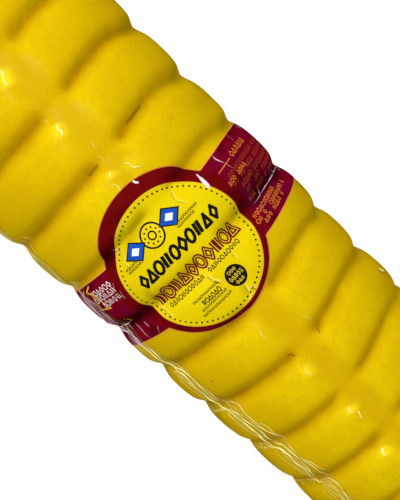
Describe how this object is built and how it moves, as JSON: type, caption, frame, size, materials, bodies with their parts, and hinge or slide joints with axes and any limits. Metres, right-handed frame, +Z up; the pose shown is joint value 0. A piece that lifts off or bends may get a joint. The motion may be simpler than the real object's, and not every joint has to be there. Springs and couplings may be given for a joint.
{
  "type": "roped provolone bar in a clear bag",
  "caption": "Cylindrical yellow provolone with rope-pressed lobes, lying on its side in a clear shrink bag with a printed wrap-round label.",
  "frame": {"origin": "centre of the bounding box at its bottom, on the floor under the middle of the bar", "axes": "+X along the bar, from the thicker end to the thinner one; +Y across it, in the direction the label's print reads; +Z up, towards the label's medallion"},
  "size_m": [0.512, 0.1132, 0.1107],
  "materials": {
    "bagged_cheese": "yellow rind under clear glossy film",
    "label": "dark red and yellow print under clear glossy film"
  },
  "bodies": {
    "root": {"bagged_cheese": "bagged_cheese", "label": "label"}
  },
  "joints": []
}
